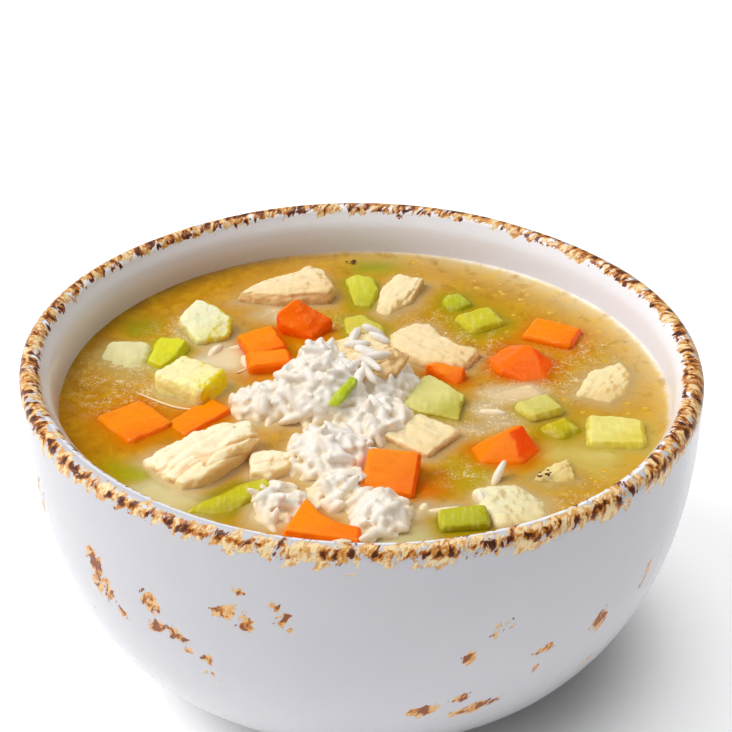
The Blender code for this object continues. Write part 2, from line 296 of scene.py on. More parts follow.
def soft_finish(name, rough, shine, share, reach, spread):
    """Food that light spreads in, over this reach in millimetres and furthest in red."""
    finish = Finish(name, Roughness=rough, Specular_IOR_Level=shine)
    finish.set("Subsurface Weight", share)
    finish.set("Subsurface Scale", reach * MM)
    finish.shader.inputs["Subsurface Radius"].default_value = spread
    return finish


BROTH_LEFT = hue("#BA7E04")
BROTH_RIGHT = hue("#BA8600")
FADE = 2.8  # depth in millimetres over which the broth hides about two thirds of what is in it


def broth_colour(finish):
    """Golden, darker on the left and lighter on the right, with faint clouds."""
    drift = finish.plus(finish.side("X"), finish.times(finish.side("Y"), 0.25))
    clouds = finish.times(finish.minus(finish.noise(16, 3), 0.5), 90)
    share = finish.between(finish.plus(drift, clouds), -62, 66)
    return finish.mix(share, BROTH_LEFT, BROTH_RIGHT)


def sink(finish, colour, fade=FADE, wet=0.15, tint=None):
    """The colour, turning with depth to the broth's or to another tint, from a little over its surface."""
    depth = finish.minus(LEVEL + wet, finish.height())
    depth = finish.math("MAXIMUM", depth, 0.0)
    seen = finish.math("POWER", math.e, finish.math("DIVIDE", depth, -fade))
    return finish.mix(seen, broth_colour(finish) if tint is None else tint, colour)


def stoneware():
    """Glossy pale glaze, with brown brushed on the lip and in a few patches; the inside is painted brighter and
    bluer than the outside, with a painted warm shade at the back left.
    """
    finish = Finish("stoneware", Roughness=0.22, Specular_IOR_Level=0.34)
    finish.set("Coat Weight", 0.12)
    finish.set("Coat Roughness", 0.08)
    glaze = finish.mix(finish.noise(22, 3), "#CDCCD1", "#C5C4CA")
    # Painted light: inside, the glaze is brighter and bluer than outside, bluest just over the broth, to offset
    # the broth's golden bounce light.
    lit_inner_glaze = finish.mix(finish.between(finish.height(), LEVEL + 1, LEVEL + 9), "#EAEEFF", "#F8F9FF")
    inside = finish.attribute("inside")
    glaze = finish.mix(inside, glaze, lit_inner_glaze)
    fleck = finish.between(finish.noise(1.6, 2, shift=3), 0.70, 0.78)
    glaze = finish.mix(finish.times(fleck, 0.35), glaze, "#B9B2A8")
    at = finish.attribute("rim_place", "Vector")
    fray = finish.minus(finish.noise(0.7, 2, 0.3, 0.6, at, 5.0), 0.5)

    def brushed(size, shift, ragged, amount, fall):
        """How thick one colour lies, brushed across the lip and ragged at its edges."""
        thick = finish.noise(size, 3, 0.6, 0.55, at, shift)
        thick = finish.plus(thick, finish.times(fray, ragged))
        lack = finish.times(finish.minus(1.0, finish.attribute(amount)), fall)
        return finish.minus(thick, lack)

    wash = brushed(3.0, 0.0, 0.20, "paint", 0.42)
    iron = brushed(1.9, 23.0, 0.14, "dab", 0.26)
    cover = finish.between(wash, 0.33, 0.38)
    chips = finish.between(finish.noise(2.8, 3, 0.6, 0.6, at, 41.0), 0.57, 0.62, 1.0, 0.0)
    cover = finish.math("MAXIMUM", finish.times(cover, chips), finish.between(iron, 0.50, 0.53))
    parts = finish.node("ShaderNodeSeparateXYZ")
    finish.put(parts.inputs[0], at)
    lower = finish.between(parts.outputs["Z"], 4.0, 7.0)  # 1 on the wall's patches, 0 on the lip
    cream = finish.between(finish.noise(1.2, 3, 0.6, 0.6, at, 6.0), 0.44, 0.60)
    cream = finish.math("MAXIMUM", cream, finish.times(lower, 0.55))
    colour = finish.mix(cream, "#F4D9A4", "#D89A4C")
    colour = finish.mix(finish.between(iron, 0.43, 0.49), colour, "#C47A22")
    colour = finish.mix(finish.between(iron, 0.505, 0.535), colour, "#904608")
    dark = finish.mix(finish.noise(0.8), "#5E2C10", "#361808")
    darkest = finish.between(iron, 0.545, 0.575)
    darkest = finish.times(darkest, finish.math("MULTIPLY_ADD", lower, -0.85, 1.0))
    colour = finish.mix(darkest, colour, dark)
    colour = finish.mix(cover, glaze, colour)
    # Painted shade and golden bounce light on the inside wall at the back left, just over the broth.
    colour = finish.mix(finish.attribute("warm"), colour, "#CDB47C")
    finish.colour(finish.mix(inside, colour, sink(finish, colour, 1.2)))
    finish.set("Roughness", finish.between(cover, 0.0, 1.0, 0.20, 0.42))
    ripple = finish.plus(finish.noise(5, 2, shift=1), finish.times(cover, -0.5))
    finish.relief(ripple, 0.12)
    return finish.material


def stained(finish, share):
    """The broth's colour, tinted by what stands or floats nearby, with painted light and a painted highlight
    along the wall at the right back and painted shade along the wall at the left back.
    """
    near = finish.times(finish.attribute("near"), share)
    colour = finish.mix(near, broth_colour(finish), finish.attribute("stain", "Color"))
    # Painted light: paler broth along the lit wall at the right back.
    colour = finish.mix(finish.attribute("pale"), colour, "#F0E2B4")
    # Painted highlight along the meniscus at the right back.
    colour = finish.mix(finish.attribute("bright"), colour, "#FFFBF0")
    # Painted shade along the wall at the left back.
    return finish.mix(finish.attribute("dim"), colour, "#8A6A1C")


def broth_surface():
    """Hazy golden liquid: clear only over what lies just under it, with fine curds and cloudy streaks."""
    finish = Finish("broth_surface", Roughness=0.09, IOR=1.33, Specular_IOR_Level=0.07)
    colour = stained(finish, 0.92)
    open_broth = finish.between(finish.attribute("near"), 0.1, 0.8, 1.0, 0.15)
    swirl = finish.between(finish.noise(6, 5, 1.0, 0.65, shift=9), 0.42, 0.66, 0.0, 0.38)
    colour = finish.mix(finish.times(swirl, open_broth), colour, "#E0AE22")
    murk = finish.between(finish.noise(4.2, 4, 0.5, 0.62, shift=12), 0.50, 0.76, 0.0, 0.62)
    colour = finish.mix(finish.times(murk, open_broth), colour, "#9A6810")
    ridge = finish.math("ABSOLUTE", finish.minus(finish.noise(1.9, 4, 1.3, 0.62, shift=2), 0.5))
    curd = finish.between(ridge, 0.004, 0.026, 1.0, 0.0)
    patchy = finish.between(finish.noise(3.0, 2, 0.4, shift=15), 0.38, 0.58)
    curd = finish.times(finish.times(curd, patchy), finish.attribute("froth"))
    grain = finish.between(finish.noise(0.55, 2, 0.3, 0.6, shift=7), 0.60, 0.72, 0.0, 0.18)
    milky = finish.math("MAXIMUM", curd, grain)
    colour = finish.mix(grain, colour, "#F6D050")
    colour = finish.mix(curd, colour, "#FFEFC0")
    finish.colour(colour)
    cover = finish.plus(finish.attribute("haze"), finish.times(milky, 0.6), clamp=True)
    finish.set("Alpha", cover)
    lift = finish.plus(finish.noise(4.5, 3, shift=4), finish.times(curd, 0.8))
    finish.relief(lift, 0.06)
    return finish.material


def broth_depths():
    """What shows where nothing stands in the broth."""
    finish = Finish("broth_depths", Roughness=0.6, Specular_IOR_Level=0.1)
    cloud = finish.between(finish.noise(7, 4, 0.8), 0.35, 0.70, 0.0, 0.35)
    finish.colour(finish.mix(cloud, stained(finish, 0.8), "#D8A840"))
    return finish.material


# Painted light and shade: the lit top and shaded side colours of each kind of food, and of the pieces that
# differ
LIT_AND_SHADED_TINTS = {  # top, sides, and sides that face right
    "carrot": "#FF8C00 #FF7400 #FF5E00",
    "carrot_1": "#FF9000 #FC7000 #F46200",
    "carrot_3": "#FF7600 #FF6200 #FF6200",
    "carrot_6": "#FF8800 #FF6400 #FF5C00",
    "carrot_7": "#FF7200 #F86000 #FF5400",
    "carrot_11": "#FF8400 #FF7800 #FF5000",
    "celery": "#DCD44A #C4BC1C #BCB214",
    "celery_1": "#DAD62A #C8C20E #C0BA0A",
    "celery_2": "#CCC83A #B4B018 #B0AA10",
    "celery_3": "#D6CA50 #C0B41C #C0B41C",
    "celery_4": "#B4C41C #9CB008 #9CB008",
    "celery_5": "#B8B814 #A4A208 #A4A208",
    "celery_6": "#CEC42E #BCAE10 #BCAA08",
    "celery_7": "#DCD284 #B2A608 #AA9C04",
    "celery_8": "#D6CA70 #C8B840 #C4AC28",
    "celery_9": "#C8B410 #A89806 #A89806",
    "celery_10": "#E8DA7C #D2C03C #CEB81C",
    "celery_11": "#C4BC1C #A89A08 #A89A08",
    "celery_12": "#B8B410 #9C9608 #9C9608",
    "potato": "#F0DEA4 #E4CA84 #DCC074",
    "potato_1": "#F0ECC4 #E8DC90 #E0D028",
    "potato_2": "#E0D8A2 #DACC7C #DACC7C",
    "potato_3": "#FFEEB4 #FFF4A0 #FFE000",
    "potato_4": "#F4DEAE #EED09A #EAC690",
    "potato_5": "#F0E6BC #E4D098 #E0CC90",
    "chicken": "#FFEECC #FADCA6 #F8D090",
    "chicken_1": "#F8E0B2 #F2D096 #EEC484",
    "chicken_4": "#F4DCAE #EECC92 #EAC07E",
    "chicken_2": "#F6DEB0 #E4BC80 #DCB072",
    "chicken_3": "#F6E2B4 #E8C684 #E0B874",
    "chicken_5": "#F2E0AC #E4BE78 #E4BE78",
    "chicken_8": "#E8D290 #D8BA64 #D8BA64",
}


def tints_of(name):
    return [hue(code) for code in LIT_AND_SHADED_TINTS.get(name, LIT_AND_SHADED_TINTS[name.split("_")[0]]).split()]


def flesh_of(finish, name):
    """The piece's tints as painted light and shade: a lit one for what faces up, a shaded one for its sides, a
    more shaded one for the sides that face right, and painted shade growing towards the front right.
    """
    top, shaded_flank, shaded_right = tints_of(name)
    made = finish.node("ShaderNodeSeparateXYZ")
    finish.put(made.inputs[0], finish.node("ShaderNodeNewGeometry").outputs["Normal"])
    cloud = finish.times(finish.minus(finish.noise(3.4, 3, 0.4, shift=18), 0.5), 1.1)
    low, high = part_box(name)
    reach = max(high.x - low.x, high.y - low.y) / 2 / MM
    across = finish.math("MULTIPLY_ADD", finish.side("X"), 0.5 / reach, -0.25 * (low.x + high.x) / MM / reach)
    nearer = finish.math("MULTIPLY_ADD", finish.side("Y"), -0.8 / reach, 0.4 * (low.y + high.y) / MM / reach)
    # Painted shade growing towards the front right of the piece.
    painted_shade_front_right = finish.between(finish.plus(across, nearer), -0.1, 0.8, 0.0, 0.75)
    lit_top_share = finish.between(finish.plus(made.outputs["Z"], cloud), 0.40, 0.85)
    colour = finish.mix(lit_top_share, shaded_flank, finish.mix(painted_shade_front_right, top, shaded_flank))
    return finish.mix(finish.between(made.outputs["X"], 0.16, 0.34), colour, shaded_right)


EDGE_HIGHLIGHTS = {"carrot": "#FFA41C", "celery": "#E8E890", "potato": "#FBF2CC"}  # colour of painted highlights along sharp edges


def vegetable(name):
    """Wet cut flesh: a paler top and deeper coloured sides painted as light and shade, faint mottling, painted
    highlights on sharp edges and fine relief.
    """
    kind = name.split("_")[0]
    finish = soft_finish(name, 0.16, 0.14, 0.5, 2.6, (1.0, 0.6, 0.2))
    shift = random.Random(name).uniform(0, 40)
    flesh = flesh_of(finish, name)
    mottle = finish.noise(2.6, 3, 0.5, shift=shift)
    darker = finish.mix(1.0, flesh, (0.88, 0.78, 0.6) if kind == "carrot" else (0.90, 0.88, 0.70), "MULTIPLY")
    flesh = finish.mix(finish.between(mottle, 0.42, 0.72, 0.0, 0.35), flesh, darker)
    if kind == "carrot":
        rays = finish.noise(0.5, 2, shift=shift, at=finish.spot((1, 1, 0.25)))
        flesh = finish.mix(finish.between(rays, 0.55, 0.75, 0.0, 0.25), flesh, "#FFA61C")
        finish.relief(finish.noise(0.6, 3), 0.10)
    elif kind == "celery":
        strands = finish.noise(0.9, 2, shift=shift, at=finish.spot((1, 0.18, 0.5)))
        flesh = finish.mix(finish.between(strands, 0.48, 0.72, 0.0, 0.25), flesh, "#F0EE9C")
        finish.relief(strands, 0.10)
    else:
        crumbs = finish.noise(0.8, 3, shift=shift)
        flesh = finish.mix(finish.between(crumbs, 0.5, 0.75, 0.0, 0.18), flesh, "#FBF6DE")
        finish.relief(crumbs, 0.14)
    # Painted highlight: sharp edges lightened.
    edge = finish.node("ShaderNodeNewGeometry").outputs["Pointiness"]
    flesh = finish.mix(finish.between(edge, 0.515, 0.58, 0.0, 0.5), flesh, EDGE_HIGHLIGHTS[kind])
    finish.colour(sink(finish, flesh, 2.6, 1.5, stain_of(name)))
    return finish.material


def meat(name, grain_turn):
    """Poached chicken: pale, with tan shadows between its fibres, which lie along the grain's direction."""
    finish = soft_finish(name, 0.42, 0.15, 0.5, 2.4, (1.0, 0.6, 0.35))
    turn = finish.node("ShaderNodeVectorRotate", rotation_type="Z_AXIS")
    finish.put(turn.inputs["Vector"], finish.spot())
    turn.inputs["Angle"].default_value = -grain_turn
    fibre = finish.node("ShaderNodeMapping")
    finish.put(fibre.inputs["Vector"], turn.outputs[0])
    fibre.inputs["Scale"].default_value = (0.16, 1, 0.8)
    fibres = finish.noise(0.9, 3, 0.3, shift=random.Random(name).uniform(0, 40), at=fibre.outputs[0])
    flesh = flesh_of(finish, name)
    flesh = finish.mix(finish.between(fibres, 0.30, 0.46, 0.35, 0.0), flesh, "#E6C084")
    # Painted shade in the creases between the fibre bundles.
    flesh = finish.mix(finish.times(finish.attribute("groove"), 0.5), flesh, "#E0AC64")
    flesh = finish.mix(finish.between(finish.noise(5, 3), 0.55, 0.75, 0.0, 0.4), flesh, "#EBCB98")
    finish.colour(sink(finish, flesh, 2.6, 1.3, stain_of(name)))
    finish.relief(fibres, 0.16)
    return finish.material


def rice_finish(name, pale, dark):
    """Soft white grains that turn creamy where the broth soaks them, with a faint painted glow that lifts their
    shade and painted warm shade in their hollows.
    """
    finish = soft_finish(name, 0.36, 0.2, 0.45, 1.1, (1.0, 0.9, 0.75))
    # Painted light: a faint warm glow that lifts the grains' shade.
    finish.set("Emission Color", (1.0, 0.87, 0.68, 1))
    finish.set("Emission Strength", 0.10)
    tone = finish.mix(finish.between(finish.noise(3.5, 3), 0.35, 0.7), pale, dark)
    ragged = finish.plus(finish.height(), finish.times(finish.noise(3.0, 2), 3.0))
    soaked = finish.between(ragged, LEVEL + 1.0, LEVEL + 5.5, 0.75, 0.0)
    tone = finish.mix(soaked, tone, "#E6CB92")
    # Painted shade: warm cream in the hollows between grains.
    painted_hollow_shade = finish.node("ShaderNodeNewGeometry").outputs["Pointiness"]
    tone = finish.mix(finish.between(painted_hollow_shade, 0.40, 0.492, 0.75, 0.0), tone, "#E2C288")
    finish.colour(sink(finish, tone))
    finish.relief(finish.noise(0.8, 2), 0.06)
    return finish.material


# ---------------------------------------------------------------- bowl

RIM_RADIUS = cad_high.x / MM
HEIGHT = 78.0
LIP = 5.0
BODY_DEPTH = 75.4
OUTER_DEPTH = 82.9
INNER_RADIUS = 69.7
INNER_DEPTH = 76.0
BORE_SHIFT = 0.5  # the inside sits this far to the right of the outside
FLOOR_DEPTH = 69.5
CURVE_POWERS = (2.57, 2.9)
FOOT_OUTER = 43.6
FOOT_INNER = 38.5
FOOT_RECESS = 2.4
TURNS = 340
LIP_FLARE = 3.9  # the bore opens out by this much at the lip
FLARE_DEPTH = 4.0
RIM_LEAN = (1.4, 148)  # millimetres, and the side in degrees from +X on which the rim stands highest
RIM_WAVE = (0.37, 30)
RIM_DIPS = ((47, 0.9), (133, 0.7))  # (degrees from +X, millimetres)
DIP_REACH = 24

# Brown patches on the outside: (degrees from the near side, height, half width, half height, tilt, strength)
PATCHES = (
    (-48, 56, 2.6, 3.8, 15, 0.95), (-46.5, 50.5, 3.8, 4.4, 10, 0.85), (-42.5, 45.5, 2.6, 1.6, -50, 0.8),
    (-35.5, 53, 2.6, 3.6, 20, 0.95), (-34.5, 47, 3.2, 1.8, 20, 0.9), (-30.5, 46.5, 3.2, 1.9, -25, 0.95),
    (-19, 64.5, 1.8, 1.1, -10, 0.9), (-21.5, 58, 3.2, 2.2, -10, 0.9), (-18.5, 56, 2.6, 2.2, -10, 1.0),
    (-13.5, 62, 1.7, 1.8, -30, 0.85), (-11.5, 58.5, 2.6, 2.4, -30, 0.9), (-29.5, 42.5, 1.5, 0.9, -10, 0.85),
    (-25.5, 42, 2.2, 1.5, -30, 0.95), (-25, 36.5, 2.0, 0.9, -30, 0.8), (10.5, 30.5, 3.4, 2.2, 10, 1.0),
    (17, 33, 2.6, 1.5, 0, 0.95), (20, 28, 6.2, 1.7, 12, 0.95), (17, 46, 1.8, 2.2, 0, 0.95),
    (22, 53, 4.4, 1.8, 38, 0.62), (31, 42.5, 3.0, 1.1, 15, 0.95), (30.5, 36.5, 1.4, 2.0, -20, 0.85),
    (43, 43, 2.6, 2.6, 30, 1.0), (55, 47, 2.0, 5.0, -15, 0.6), (-66, 60, 3.0, 5.0, 10, 0.55),
    (-52, 38, 4.0, 1.4, -30, 0.5), (44, 28, 4.0, 1.2, 25, 0.55), (104, 46, 5.0, 3.0, 20, 0.9),
    (128, 32, 4.0, 3.0, -15, 0.85), (163, 50, 3.5, 4.5, 15, 0.9), (190, 36, 5.0, 2.6, -20, 0.9),
    (214, 53, 3.0, 5.0, 10, 0.85), (243, 40, 4.5, 3.0, -10, 0.9), (262, 30, 3.0, 2.4, 15, 0.8),
)


def curve_radius(depth, top, closing):
    return top * (1 - (depth / closing) ** CURVE_POWERS[0]) ** (1 / CURVE_POWERS[1])


def bore_radius(depth):
    return curve_radius(depth, INNER_RADIUS, INNER_DEPTH) + LIP_FLARE * math.exp(-depth / FLARE_DEPTH)


def bowl_profile():
    """(radius, height) from the middle of the underside, up the outside, over the lip and down inside."""
    lip = LIP / 2
    points = [(FOOT_INNER * step / 6, FOOT_RECESS) for step in range(6)]
    points += [(FOOT_INNER - 1, FOOT_RECESS), (FOOT_INNER - 0.25, 0.7)]
    points += [(FOOT_INNER + 0.5, 0.1), (FOOT_INNER + 1, 0)]
    points += [(FOOT_OUTER - 0.8, 0), (FOOT_OUTER - 0.15, 0.3), (FOOT_OUTER, 1.2)]
    for step in range(61):
        depth = lip + (BODY_DEPTH - lip) * math.cos(step / 60 * math.pi / 2)
        points.append((curve_radius(depth, RIM_RADIUS, OUTER_DEPTH), HEIGHT - depth))
    for step in range(1, 14):
        turn = math.pi * step / 14
        points.append((RIM_RADIUS - lip + lip * math.cos(turn), HEIGHT - lip + lip * math.sin(turn)))
    for step in range(51):
        depth = lip + 0.6 + (FLOOR_DEPTH - lip - 0.6) * math.sin(step / 50 * math.pi / 2)
        points.append((bore_radius(depth), HEIGHT - depth))
    floor = points[-1][0]
    points += [(floor * share, HEIGHT - FLOOR_DEPTH) for share in (0.8, 0.6, 0.4, 0.2, 0)]
    return np.array(points)


def rim_lift(angle, height):
    lean = RIM_LEAN[0] * np.cos(angle - math.radians(RIM_LEAN[1]))
    lean = lean + RIM_WAVE[0] * np.cos(2 * (angle - math.radians(RIM_WAVE[1])))
    turn = np.degrees(angle) % 360
    for middle, drop in RIM_DIPS:
        lean = lean - drop * bump(turn - middle, DIP_REACH)
    return lean * (np.maximum(height, 0) / HEIGHT) ** 3


def make_bowl():
    profile = bowl_profile()
    rows = len(profile)
    crest = int(np.argmax(profile[:, 1]))
    steps = np.hypot(*np.diff(profile, axis=0).T)
    along = np.concatenate([[0], np.cumsum(steps)])
    across = along[crest] - along  # distance down the outside from the crest, negative inside
    angle = np.linspace(-math.pi / 2, 1.5 * math.pi, TURNS, endpoint=False)
    ring = np.arange(1, rows - 1)
    radius, height = profile[ring, 0][:, None], profile[ring, 1][:, None]
    turn = angle[None, :]
    points = np.stack(
        [radius * np.cos(turn), radius * np.sin(turn), np.broadcast_to(height, (len(ring), TURNS))], -1
    ).reshape(-1, 3)
    flat_turn = np.broadcast_to(turn, (len(ring), TURNS)).ravel()
    flat_across = np.broadcast_to(across[ring][:, None], (len(ring), TURNS)).ravel()
    wobble = roughen(points, 24, 0.16, 1.0, 2) + roughen(points, 5, 0.05, 2.0, 2)
    wobble *= np.clip((points[:, 2] - 2) / 6, 0, 1)
    outward = np.stack([np.cos(flat_turn), np.sin(flat_turn), np.zeros(len(points))], -1)
    points[:, 2] += rim_lift(flat_turn, points[:, 2])
    points += outward * (wobble * np.where(flat_across > 0, -0.8, 0.8))[:, None]
    points[:, 0] += BORE_SHIFT * np.clip((-flat_across - 4) / 4, 0, 1)
    faces = []
    for row in range(len(ring) - 1):
        for step in range(TURNS):
            nxt = (step + 1) % TURNS
            a, b = row * TURNS + step, row * TURNS + nxt
            faces.append((a, b, b + TURNS, a + TURNS))
    base, floor = len(points), len(points) + 1
    points = np.vstack([points, [0, 0, FOOT_RECESS], [0, 0, HEIGHT - FLOOR_DEPTH]])
    last = (len(ring) - 1) * TURNS
    for step in range(TURNS):
        nxt = (step + 1) % TURNS
        faces.append((base, nxt, step))
        faces.append((floor, last + step, last + nxt))
    piece = add_piece("glazed_bowl", points, faces, stoneware(), slot="stoneware", replaces=["bowl"])
    paint_bowl(piece.data, np.append(flat_turn, [0, 0]), np.append(flat_across, [90, -90]))
    return piece


def paint_bowl(mesh, turn, across):
    """Where the brown glaze goes: a brushed band over the lip and the patches on the outside."""
    points = points_of(mesh)
    near = np.degrees(turn) + 90  # degrees from the near side
    reach = 1 + 0.25 * roughen(np.stack([70 * np.cos(turn), 70 * np.sin(turn), 0 * turn], -1), 5, 1.0, 4.0, 2)
    outside = np.clip(1.3 - np.maximum(across, 0) / (6.0 * reach), 0, 1)
    inside = np.clip(1.25 - np.maximum(-across, 0) / (3.2 * reach), 0, 1)
    paint = np.minimum(outside, inside) ** 0.6
    front_left = bump(turned(near, -38), 30)
    front_right = bump(turned(near, 24), 34)
    paint -= 0.8 * front_left * bump(across + 0.2, 1.3) + 0.6 * front_right * bump(across + 1.1, 1.2)
    dab = np.maximum(bump(across - 2.6, 2.3), 0.95 * bump(across + 1.9, 1.5))
    dab = np.maximum(dab, (1 - np.maximum(front_left, 0.5 * front_right)) * bump(across, 2.8))
    for degrees, height, half_width, half_height, tilt, strength in PATCHES:
        round_way = turned(near, degrees)
        x = np.radians(round_way) * np.hypot(points[:, 0], points[:, 1])
        y = points[:, 2] - height
        lean = math.radians(tilt)
        along = (x * math.cos(lean) + y * math.sin(lean)) / half_width
        up = (y * math.cos(lean) - x * math.sin(lean)) / half_height
        spread = strength * np.minimum(1.6 * bump(np.hypot(along, up), 1.0), 1) * (across > 4)
        paint = np.maximum(paint, spread)
        dab = np.maximum(dab, 1.12 * spread)
    store(mesh, "paint", np.clip(paint, 0, 1.2))
    store(mesh, "dab", np.clip(dab, 0, 1.2))
    store(mesh, "inside", (across < 0).astype(float))
    # Painted shade: a warm grey-beige low on the inside wall at the back left, where the rim shades it and the
    # broth bounces golden light.
    back_left = bump(turned(near, 235), 62)
    warm = 0.30 * back_left * (across < -4) * bump(points[:, 2] - LEVEL, 9)
    store(mesh, "warm", warm)
    slant = turn + across * 0.005
    place = np.stack([RIM_RADIUS * np.cos(slant), RIM_RADIUS * np.sin(slant), across * 0.68], -1)
    store(mesh, "rim_place", place.ravel(), "FLOAT_VECTOR", "vector")


# ---------------------------------------------------------------- broth

BROTH_GRID = 296
BROTH_DEPTH = 4.5  # the broth is a shallow closed pan this deep
STAIN_FADE = 0.9
FROTH = (  # places where fine curds float, as (x, y, reach)
    (-57, 8, 9), (-50, 0, 6), (-60, -2, 6), (-44, 30, 6), (38, 10, 9), (47, 7, 8), (28, 20, 6), (18, 32, 7),
    (24, 26, 7), (33, -2, 6), (28, -12, 7), (-8, 34, 4), (54, 20, 6), (22, -34, 5), (50, -46, 8),
)


def piece_trees():
    """For each piece of food: its name, its box in millimetres and a search tree of its mesh."""
    found = []
    sunk = [thing for thing in bpy.data.objects if thing.name.startswith(("sunk_", "loose_rice"))]
    food = [NODES[name] for name in sorted(NODES) if name not in ("bowl", "broth")]
    for thing in food + sunk:
        shape = shape_of(thing.data)
        points = points_of(thing.data)
        found.append((thing.name, points.min(0), points.max(0), BVHTree.FromBMesh(shape)))
        shape.free()
    return found


def nearby_food(points, far=9.0):
    """The distance from each point to the nearest food, and the food's tint there, blended between pieces."""
    gap = np.full(len(points), far)
    weight = np.full(len(points), 1e-6)
    stain = np.zeros((len(points), 3))
    for name, low, high, tree in piece_trees():
        tint = stain_of(name)
        close = np.all((points > low - far) & (points < high + far), axis=1)
        for number in np.nonzero(close)[0]:
            found = tree.find_nearest(Vector(points[number]) * MM, far * MM)[3]
            if found is None:
                continue
            gap[number] = min(gap[number], found / MM)
            share = math.exp(-found / MM / STAIN_FADE)
            weight[number] += share
            stain[number] += share * tint
    return gap, stain / weight[:, None]


GLOWS = {  # tints that the pieces sunk in the broth give it
    "sunk_celery_left": "#B8C010",
    "sunk_potato_front_left": "#F6F0B4",
    "sunk_celery_back_left": "#B4A818",
    "sunk_celery_back": "#A8B010",
    "sunk_potato_right": "#E6D46C",
    "sunk_celery_front": "#C8B41C",
    "sunk_carrot_front": "#E87400",
    "sunk_potato_front": "#DCD8A0",
    "sunk_rice_mass": "#FFE6B8",
    "sunk_potato_left": "#FCF2CC",
    "sunk_potato_back_left": "#EEE8B8",
    "rice_heap": "#E6D4A4",
    "loose_rice": "#E6D0A0",
}


def stain_of(name):
    """The tint that a piece gives to the broth close to it."""
    if name in GLOWS:
        return np.array(hue(GLOWS[name]))
    top, shaded_flank, shaded_right = tints_of(name)
    return 0.35 * np.array(top) + 0.35 * np.array(shaded_flank) + 0.30 * np.array(BROTH_RIGHT)


def make_broth():
    """The surface creeps up the bowl and up each piece that stands in it; the rest is a shallow pan below."""
    side = np.linspace(-1, 1, BROTH_GRID + 1)
    u, v = np.meshgrid(side, side)
    reach = bore_radius(HEIGHT - LEVEL) + 0.8
    x = reach * u * np.sqrt(1 - v * v / 2)
    y = reach * v * np.sqrt(1 - u * u / 2)
    points = np.stack([x.ravel(), y.ravel(), np.full(x.size, LEVEL)], -1)
    wall = np.maximum(bore_radius(HEIGHT - LEVEL) - np.hypot(points[:, 0], points[:, 1]), 0)
    points[:, 0] += BORE_SHIFT
    gap, stain = nearby_food(points)
    points[:, 2] += 0.35 * np.exp(-gap / 0.9) + 0.75 * np.exp(-wall / 0.8)
    points[:, 2] += roughen(points, 14, 0.06, 9.0, 2)
    n = BROTH_GRID + 1
    index = np.arange(n * n).reshape(n, n)
    corners = [index[:-1, :-1], index[:-1, 1:], index[1:, 1:], index[1:, :-1]]
    quads = np.stack(corners, -1).reshape(-1, 4).tolist()
    edge = np.concatenate([index[0, :-1], index[:-1, -1], index[-1, :0:-1], index[:0:-1, 0]])
    loops, below = [edge], []
    for share, drop in ((1.0, 1.2), (0.97, 2.6), (0.9, 4.2), (0.75, 5.0), (0.5, 5.0), (0.25, 5.0)):
        ring = points[edge] * (share, share, 1)
        ring[:, 2] = LEVEL - BROTH_DEPTH * drop / 5
        start = n * n + len(below) * len(edge)
        loops.append(np.arange(start, start + len(edge)))
        below.append(ring)
    sides = []
    for upper, lower in zip(loops[:-1], loops[1:]):
        sides += np.stack([upper, lower, np.roll(lower, -1), np.roll(upper, -1)], -1).tolist()
    everything = np.vstack([points] + below)
    piece = add_piece(
        "broth_body",
        everything,
        quads + sides + [loops[-1][::-1].tolist()],
        broth_surface(),
        broth_depths(),
        slot="broth",
        replaces=["broth"],
    )
    for polygon in piece.data.polygons[len(quads) :]:
        polygon.material_index = 1
    stain_broth(piece.data, everything, gap, stain, wall)
    return piece


def stain_broth(mesh, points, gap, stain, wall):
    """Froth, haze and tints of the broth, with its painted light, highlight and shade along the wall, stored on
    its mesh.
    """
    extra = len(points) - len(gap)
    low_gap, low_stain = nearby_food(points[len(gap) :] * (1, 1, 0) + (0, 0, LEVEL))
    froth = np.zeros(len(points))
    for fx, fy, size in FROTH:
        froth = np.maximum(froth, bump(np.hypot(points[:, 0] - fx, points[:, 1] - fy), size))
    turn = np.degrees(np.arctan2(points[: len(gap), 1], points[: len(gap), 0]))
    right_back = bump(turn - 42, 48)
    left_back = bump(turn - 150, 45)
    layers = {
        "froth": froth,
        "near": np.exp(-np.append(gap, low_gap) / 2.6),
        "haze": np.append(0.60 + 0.40 * (1 - np.exp(-gap / 1.9)), np.ones(extra)),
        # Painted light and a painted meniscus highlight at the right back, painted shade at the left back.
        "pale": np.append(0.85 * right_back * np.exp(-wall / 4.5), np.zeros(extra)),
        "bright": np.append(right_back * bump(wall, 0.55), np.zeros(extra)),
        "dim": np.append(0.75 * left_back * np.exp(-wall / 3.0), np.zeros(extra)),
    }
    for name, values in layers.items():
        store(mesh, name, values)
    tints = np.vstack([stain, low_stain])
    tints = np.hstack([tints, np.ones((len(points), 1))])
    store(mesh, "stain", tints.ravel(), "FLOAT_COLOR", "color")


# ---------------------------------------------------------------- cut food


def fine_mesh(source, voxel, rounds):
    """A closed, evenly meshed and softly rounded copy of a mesh."""
    shape = shape_of(source)
    bmesh.ops.remove_doubles(shape, verts=shape.verts, dist=0.002 * MM)
    mesh = bpy.data.meshes.new("fine")
    shape.to_mesh(mesh)
    shape.free()
    thing = add_object("fine", mesh)
    even = thing.modifiers.new("even", "REMESH")
    even.mode = "VOXEL"
    even.voxel_size = voxel * MM
    soft = thing.modifiers.new("soft", "SMOOTH")
    soft.factor = 0.5
    soft.iterations = rounds
    bpy.context.view_layer.update()
    made = bpy.data.meshes.new_from_object(thing.evaluated_get(bpy.context.evaluated_depsgraph_get()))
    bpy.data.objects.remove(thing)
    return made


